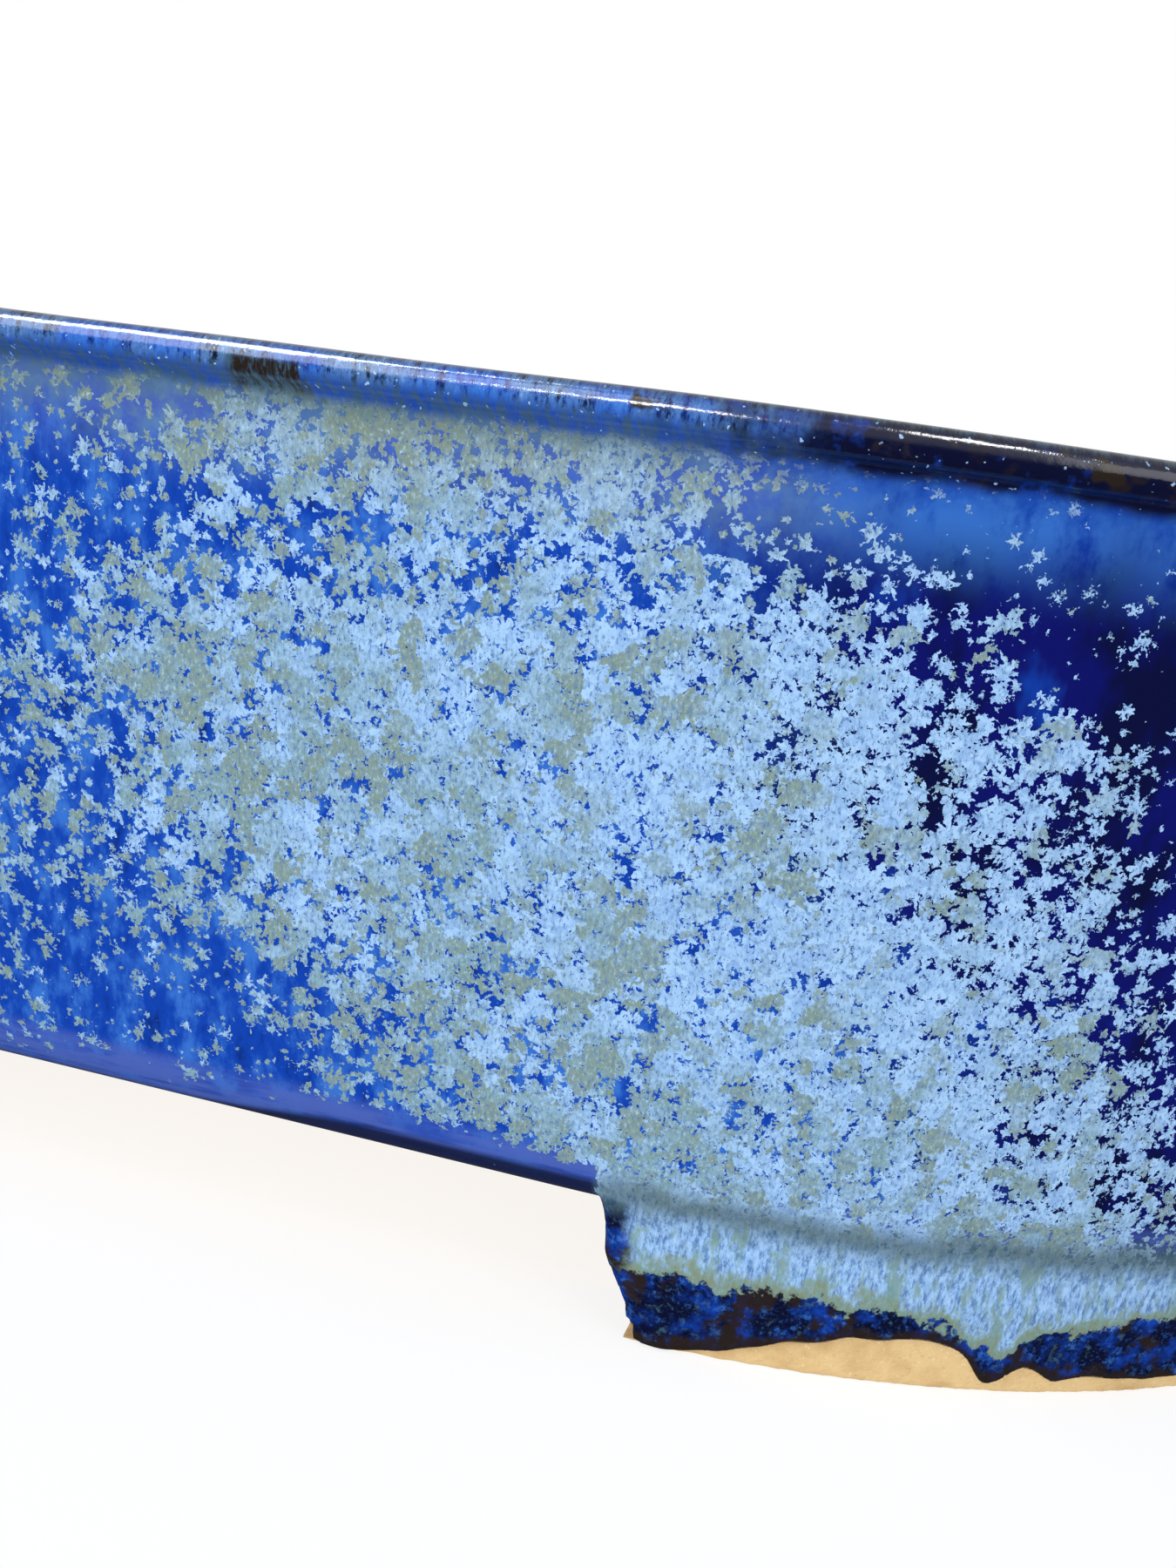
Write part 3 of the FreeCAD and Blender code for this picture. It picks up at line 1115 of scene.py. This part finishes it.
        shader = desk.add("ShaderNodeBsdfPrincipled")
        desk.feed(shader.inputs["Base Color"], desk.mix(glazed, self.bare_clay(on), glaze))
        desk.feed(shader.inputs["Roughness"], roughness)
        shader.inputs["IOR"].default_value = 1.5
        bump = desk.add("ShaderNodeBump")
        bump.inputs["Strength"].default_value = 0.7
        bump.inputs["Distance"].default_value = MM
        desk.feed(bump.inputs["Height"], height)
        desk.feed(shader.inputs["Normal"], bump.outputs[0])
        out = desk.add("ShaderNodeOutputMaterial")
        desk.feed(out.inputs["Surface"], shader.outputs[0])
        return material

    def clear_glaze(self, on: Canvas) -> Socket:
        """Colour of the glassy glaze: royal blue with milky clouds, turning to deep indigo.

        Args:
            on: the canvas.

        Returns:
            The colour.
        """
        desk, zones, z = on.desk, on.zones, on.where["Height"]
        cloud = on.pattern(0.3, 5.0, 0.65, down=0.5)
        royal = desk.fade(cloud, 0.44, 0.66, self.royal, self.azure, 0.9)
        royal = desk.fade(cloud, 0.44, 0.28, royal, self.navy, 0.55)
        deep = on.pattern(0.12, 4.0, 0.6, down=0.5)
        indigo = desk.fade(deep, 0.45, 0.62, self.indigo, self.navy, 0.85)
        indigo = desk.fade(deep, 0.42, 0.28, indigo, self.royal, 0.8)
        clear = desk.mix(zones["Deep"], royal, indigo)

        # A milky veil under the lip: grey at the left, azure at the right, brownish past that; its
        # purple-blue is a painted reflection.
        left = desk.fade(on.pattern(0.22, 4.0, 0.7), 0.42, 0.58, self.reflection_violet, self.haze)
        right = desk.fade(cloud, 0.3, 0.54, self.royal, self.azure)
        haze = desk.fade(zones["Upper side"], 0.3, 0.7, left, right)
        veil_and_reflection = desk.times(zones["Near lip"], desk.rise(on.pattern(0.07, 2.0), 0.3, 0.6, 0.55, 0.95))
        # Past the right end: the painted reflection mixed with rust.
        brown = desk.mix(0.35, self.reflection_violet, self.rust)
        haze = desk.fade(zones["Upper side"], 0.93, 1.0, haze, brown, 0.6)
        clear = desk.mix(veil_and_reflection, clear, haze)

        # Lower edge: a painted reflection of the floor; below it navy, partly gathered glaze and
        # partly painted shade.
        # Painted reflection of the pale floor, in purple-blue, on the rounded lower edge.
        floor_reflection = desk.rise(on.pattern(0.6, 3.0, 0.6, along=0.15, down=1.3), 0.35, 0.55, 0.35, 0.95)
        clear = desk.mix(desk.times(desk.rise(z, 21.5, 19.0), floor_reflection), clear, self.reflection_violet)
        # Navy below the band: painted shade on the downward-facing edge, partly gathered glaze.
        above_dark_band = desk.minus(z, lower_band(desk, on.where["Along"]))
        return desk.fade(above_dark_band, 0.9, -0.4, clear, self.navy, 0.9)

    def crystals(self, on: Canvas) -> tuple[Socket, Socket]:
        """Three sizes of crystal, laid over each other.

        Args:
            on: the canvas.

        Returns:
            The crystals' mask and their colour.
        """
        desk, zones, cover = on.desk, on.zones, on.zones["Cover"]
        fewer = desk.plus(cover, desk.rise(zones["Side"], -0.2, -0.9, 0.0, -0.14))
        less = desk.scaled(cover, 0.9, -0.1)
        layer = CrystalLayer()
        big, mid, small = (
            layer.place(
                desk,
                Surface=on.where["Surface"],
                Cell=cell,
                Cover=share,
                Arms=arms,
                Spikiness=spikiness,
                Seed=seed,
            )
            for cell, share, arms, spikiness, seed in (
                (2.9, fewer, 8.0, 0.8, 3.0),
                (1.6, cover, 6.0, 0.7, 11.0),
                (0.85, less, 5.0, 0.5, 23.0),
            )
        )
        mask = desk.larger(desk.larger(big["Mask"], mid["Mask"]), small["Mask"])
        tint, shade = (
            desk.blend(big["Mask"], desk.blend(mid["Mask"], small[name], mid[name]), big[name])
            for name in ("Tint", "Shade")
        )

        patch = on.pattern(0.085, 6.0, 0.78)
        greener = desk.scaled(zones["Side"], -0.12, patch)
        greener = desk.plus(greener, desk.rise(on.where["Height"], 46.0, 22.0, 0.0, 0.07))
        greener = desk.scaled(desk.minus(tint, 0.5), 0.34, greener)
        pale = desk.mix(shade, self.periwinkle, self.ice)
        green = desk.mix(desk.times(shade, 0.45), self.sage, self.periwinkle)
        green = desk.fade(desk.plus(greener, tint), 1.1, 1.5, green, self.olive, 0.55)
        colour = desk.fade(greener, 0.4, 0.66, pale, green)
        olive = desk.times(zones["Near lip"], desk.rise(zones["Upper side"], 0.9, 0.5))
        olive = desk.times(olive, desk.rise(patch, 0.35, 0.6, 0.35, 0.9))
        colour = desk.mix(olive, colour, self.olive)
        fleck = on.pattern(2.7, 3.0, 0.8, down=0.5)
        colour = desk.fade(fleck, 0.53, 0.68, colour, self.ice, 0.8)
        colour = desk.fade(fleck, 0.49, 0.35, colour, self.slate, 0.95)
        return mask, colour

    def pool(self, on: Canvas) -> tuple[Socket, Socket]:
        """Where the glaze has run together above its edge on the feet.

        Args:
            on: the canvas.

        Returns:
            Masks of the dark pool and of the fringe above it.
        """
        desk, foot = on.desk, on.zones["Foot"]
        swing = desk.times(desk.minus(on.where["Along"], 63.0), 2 * math.pi / 64)
        broad = desk.scaled(desk.calc("COSINE", swing), 3.2, 5.7)
        small = desk.times(desk.minus(on.pattern(0.22, 5.0, 0.7), 0.5), 10.0)
        above = desk.minus(desk.minus(on.edge, broad), small)
        end = desk.rise(desk.scaled(small, 0.3, on.where["Beside"]), 3.1, 2.0)
        pool = desk.times(desk.larger(desk.rise(above, 0.35, -0.25), end), foot)
        return pool, desk.times(desk.rise(above, 2.4, 0.6), foot)

    def foot_glaze(self, on: Canvas, wall: Socket, pool: Socket, fringe: Socket) -> Socket:
        """Colours the glaze on the feet: a grey crease of pooled glaze and painted shade, pale
        blue, a sage fringe and a dark pool.

        Args:
            on: the canvas.
            wall: the wall's colour so far.
            pool: mask of the dark pool.
            fringe: mask of the fringe above it.

        Returns:
            The colour with the feet's own bands.
        """
        desk = on.desk
        fleck = on.pattern(1.7, 4.0, 0.8, down=0.4)
        pale = desk.fade(fleck, 0.45, 0.66, self.periwinkle, self.ice)
        pale = desk.fade(fleck, 0.52, 0.38, pale, self.slate)
        pale = desk.fade(on.pattern(0.4, 4.0, 0.75, down=0.4), 0.48, 0.62, pale, self.sage, 0.85)
        pale = desk.mix(fringe, pale, desk.fade(fleck, 0.4, 0.6, self.olive, self.sage))
        dark = desk.fade(on.pattern(0.24, 4.0, 0.65), 0.44, 0.68, self.navy, self.royal)
        fine = on.pattern(0.5, 5.0, 0.75)
        dark = desk.fade(fine, 0.52, 0.7, dark, self.azure, 0.85)
        dark = desk.fade(fine, 0.46, 0.34, dark, self.teal, 0.8)
        dark = desk.fade(on.pattern(0.17, 4.0, 0.65), 0.53, 0.62, dark, self.rust, 0.95)
        colour = desk.mix(on.zones["Foot"], wall, desk.mix(pool, pale, dark))
        # The crease over each foot: pooled glaze and painted shade, teal with paler flecks.
        valley = desk.fade(fleck, 0.3, 0.7, self.teal, self.valley)
        return desk.mix(desk.times(on.zones["Crease"], 0.85), colour, valley)

    def lip_glaze(self, on: Canvas) -> Socket:
        """Colour of the lip: azure streaks over royal blue, going over into near black.

        Args:
            on: the canvas.

        Returns:
            The colour.
        """
        desk, z = on.desk, on.where["Height"]
        streak = on.pattern(1.1, 4.0, 0.8, along=1.2, down=0.4)
        blue = desk.fade(streak, 0.38, 0.52, self.navy, self.slate)
        blue = desk.fade(streak, 0.55, 0.7, blue, self.periwinkle)
        bright = desk.fade(streak, 0.38, 0.6, self.royal, self.azure)
        bright = desk.fade(streak, 0.42, 0.32, bright, self.navy)
        blue = desk.fade(on.pattern(0.09, 3.0, 0.6), 0.38, 0.58, blue, bright)
        low = desk.fade(streak, 0.4, 0.6, self.teal, self.royal)
        blue = desk.fade(z, LIP_TOP - 2.2, LIP_TOP - 3.6, blue, low, 0.85)

        patch = on.pattern(0.21, 4.0, 0.65)
        dark = desk.fade(patch, 0.55, 0.72, self.navy, self.royal)
        dark = desk.fade(patch, 0.48, 0.32, dark, self.rust)
        turned = desk.scaled(desk.minus(patch, 0.5), 0.9, on.zones["Upper side"])
        lip = desk.fade(turned, 0.1, 0.6, blue, dark)
        lip = desk.fade(on.pattern(1.5, 2.0), 0.67, 0.72, lip, self.ice, 0.8)
        moved = desk.vector("ADD", on.where["Surface"], (4.0, 0.0, 0.0))
        lip = desk.fade(desk.noise(moved, 0.17, 3.0, 0.6), 0.62, 0.68, lip, self.rust)

        # One scorched stretch low on the lip, and the thinner glaze along its crown.
        near = on.off(desk.scaled(streak, 3.0, on.where["Along"]), self.scorch_at)
        scorch = desk.times(desk.rise(near, 4.2, 2.8), desk.rise(z, LIP_TOP - 1.7, LIP_TOP - 2.5))
        lip = desk.mix(scorch, lip, desk.fade(streak, 0.45, 0.62, self.rust, self.teal))
        crown = desk.fade(streak, 0.45, 0.6, self.navy, self.teal)
        return desk.fade(z, LIP_TOP - 1.3, LIP_TOP - 0.5, lip, crown, 0.8)

    def bare_clay(self, on: Canvas) -> Socket:
        """Colour of the unglazed clay: sandy, with darker patches and pale grit.

        Args:
            on: the canvas.

        Returns:
            The colour.
        """
        desk, solid = on.desk, on.where["Solid"]
        grit = desk.noise(solid, 1.9, 4.0, 0.75)
        patch = desk.noise(solid, 0.12, 4.0, 0.6)
        clay = desk.fade(patch, 0.38, 0.7, self.clay, self.clay_dark)
        clay = desk.fade(grit, 0.56, 0.7, clay, self.clay_dark, 0.6)
        return desk.fade(grit, 0.42, 0.3, clay, self.clay_pale, 0.6)


@dataclass(frozen=True)
class PaleFloor:
    """The plain pale floor of the studio.

    Attributes:
        colour: what it reflects.
        roughness: how matt it is.
        glow: how much light it gives off itself, so that it stays near white in the pot's shadow.
        size: the length of its sides, in metres.
    """

    colour: Colour = srgb(122, 123, 126)
    roughness: float = 0.9
    glow: float = 0.8
    size: float = 12.0

    def material(self) -> bpy.types.Material:
        """Builds the floor's material."""
        material = bpy.data.materials.new("pale_floor")
        material.use_nodes = True
        shader = material.node_tree.nodes["Principled BSDF"]
        shader.inputs["Base Color"].default_value = self.colour
        shader.inputs["Roughness"].default_value = self.roughness
        shader.inputs["Emission Color"].default_value = (1.0, 1.0, 1.0, 1.0)
        shader.inputs["Emission Strength"].default_value = self.glow
        return material

    def lay(self) -> None:
        """Lays the floor past everything in view; the glaze doesn't mirror it."""
        deselect_everything()
        bpy.ops.mesh.primitive_plane_add(size=self.size, location=(0, 0, 0))
        floor = bpy.context.object
        floor.name = "studio_floor"
        floor.data.materials.append(self.material())
        floor.visible_glossy = False


# ---- studio -------------------------------------------------------------------------------------
@dataclass(frozen=True)
class Lamp:
    """A soft rectangular light.

    Attributes:
        name: the light's name.
        place: where it hangs, in metres.
        size: its width and height.
        power: its power in watts.
        glint: whether it only shows as a highlight and lights nothing else.
    """

    name: str
    place: tuple[float, float, float]
    size: Point
    power: float
    glint: bool = False

    def hang(self, target: Vector) -> None:
        """Adds the light, facing the target."""
        data = bpy.data.lights.new(self.name, "AREA")
        data.shape = "RECTANGLE"
        data.size, data.size_y = self.size
        data.energy = self.power
        light = bpy.data.objects.new(self.name, data)
        light.visible_diffuse = not self.glint
        place = Vector(self.place)
        turn = (target - place).to_track_quat("-Z", "Y").to_matrix().to_4x4()
        light.matrix_world = Matrix.Translation(place) @ turn
        bpy.context.scene.collection.objects.link(light)


LAMPS = (
    Lamp("overhead_left", (-0.56, -0.62, 1.05), (0.3, 0.5), 15.0, glint=True),
    Lamp("front_small", (-0.15, -1.2, 0.5), (0.22, 0.08), 4.0, glint=True),
    Lamp("right_small", (0.41, -0.82, 0.95), (0.15, 0.2), 6.0, glint=True),
    Lamp("front_left", (-0.9, -1.3, 0.9), (1.2, 1.2), 20.0),
    Lamp("front_right", (1.1, -1.0, 0.6), (0.9, 0.9), 6.0),
)


@dataclass
class Studio:
    """Soft lights, a white surround and the camera.

    Attributes:
        camera_at: the camera's place, from the middle of the pot.
        yaw: how far it is turned to the left of the pot's +Y, in degrees.
        pitch: how far it looks down.
        roll: how far it leans to the left.
        lens: its focal length on a 36 mm wide sensor, in millimetres.
        lit_point: what every light faces.
        surround: strength of the white surround that lights the pot.
    """

    camera_at: Vector
    yaw: float = -13.26
    pitch: float = 8.4
    roll: float = -8.44
    lens: float = 37.0
    lit_point: tuple[float, float, float] = (0.05, 0.0, 0.05)
    surround: float = 0.44

    def place_camera(self) -> None:
        """Adds the camera and makes it the scene's."""
        data = bpy.data.cameras.new("camera")
        data.lens = self.lens
        data.sensor_width = 36.0
        data.clip_start = 0.005
        camera = bpy.data.objects.new("camera", data)
        bpy.context.scene.collection.objects.link(camera)
        yaw, pitch, roll = (math.radians(a) for a in (self.yaw, self.pitch, self.roll))
        ahead = Vector((math.sin(yaw), math.cos(yaw), 0))
        right = Vector((math.cos(yaw), -math.sin(yaw), 0))
        down = Vector((0, 0, -1))
        look = ahead * math.cos(pitch) + down * math.sin(pitch)
        down = down * math.cos(pitch) - ahead * math.sin(pitch)
        side = right * math.cos(roll) + down * math.sin(roll)
        down = down * math.cos(roll) - right * math.sin(roll)
        turn = Matrix((side, -down, -look)).transposed()
        camera.matrix_world = Matrix.Translation(self.camera_at) @ turn.to_4x4()
        bpy.context.scene.camera = camera

    def light_up(self) -> None:
        """Adds the lights and a white surround that the glaze reflects only dimly."""
        for lamp in LAMPS:
            lamp.hang(Vector(self.lit_point))
        world = bpy.data.worlds.new("studio")
        world.use_nodes = True
        desk = NodeDesk(world.node_tree)
        background = world.node_tree.nodes["Background"]
        path = desk.add("ShaderNodeLightPath")
        up = desk.split(desk.add("ShaderNodeTexCoord").outputs["Generated"])[2]
        mirrored = desk.rise(up, -0.05, 0.3, 0.03, 0.7)
        strength = desk.blend(path.outputs["Is Glossy Ray"], self.surround, mirrored)
        strength = desk.blend(path.outputs["Is Camera Ray"], strength, 1.0)
        desk.feed(background.inputs["Strength"], strength)
        background.inputs["Color"].default_value = (1.0, 1.0, 1.0, 1.0)
        bpy.context.scene.world = world
        bpy.context.scene.view_settings.view_transform = "Standard"


# ---- everything together ------------------------------------------------------------------------
class BonsaiPot:
    """The whole pot: its body and four feet, all in one glaze."""

    body_nodes = ("base_slab", "wall_", "lip_", "seam_coil_")

    def __init__(self, sizes: PotSizes) -> None:
        """Takes the pot's sizes and makes its material."""
        self.sizes = sizes
        self.material = CrystallineGlaze().material(sizes)

    def dress(self, piece: bpy.types.Object, nodes: Sequence[str]) -> None:
        """Gives a piece its material and its body, and hides the CAD nodes that it stands for.

        Args:
            piece: the finished object.
            nodes: the CAD nodes that it replaces.
        """
        piece.data.materials.clear()
        piece.data.materials.append(self.material)
        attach(piece, BODY)
        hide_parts(*nodes)
        faces = sum(len(p.vertices) - 2 for p in piece.data.polygons)
        log.info("%s: %d triangles, stands for %d CAD nodes", piece.name, faces, len(nodes))

    def build(self) -> None:
        """Builds and dresses the body, then each foot."""
        body = PotBody(self.sizes).build()
        nodes = sorted(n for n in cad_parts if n.startswith(self.body_nodes))
        self.dress(body, nodes)
        for place in FootPlace:
            self.dress(PotFoot(self.sizes).build(place), [place.node])


def main() -> None:
    """Builds the pot and the studio round it."""
    logging.basicConfig(level=logging.INFO, format="%(message)s", stream=sys.stdout)
    BonsaiPot(PotSizes.from_frame()).build()
    studio = Studio(camera_at=Vector((84.0, -251.8, 78.6)) * MM)
    studio.place_camera()
    studio.light_up()
    PaleFloor().lay()


if __name__ == "__main__":
    main()
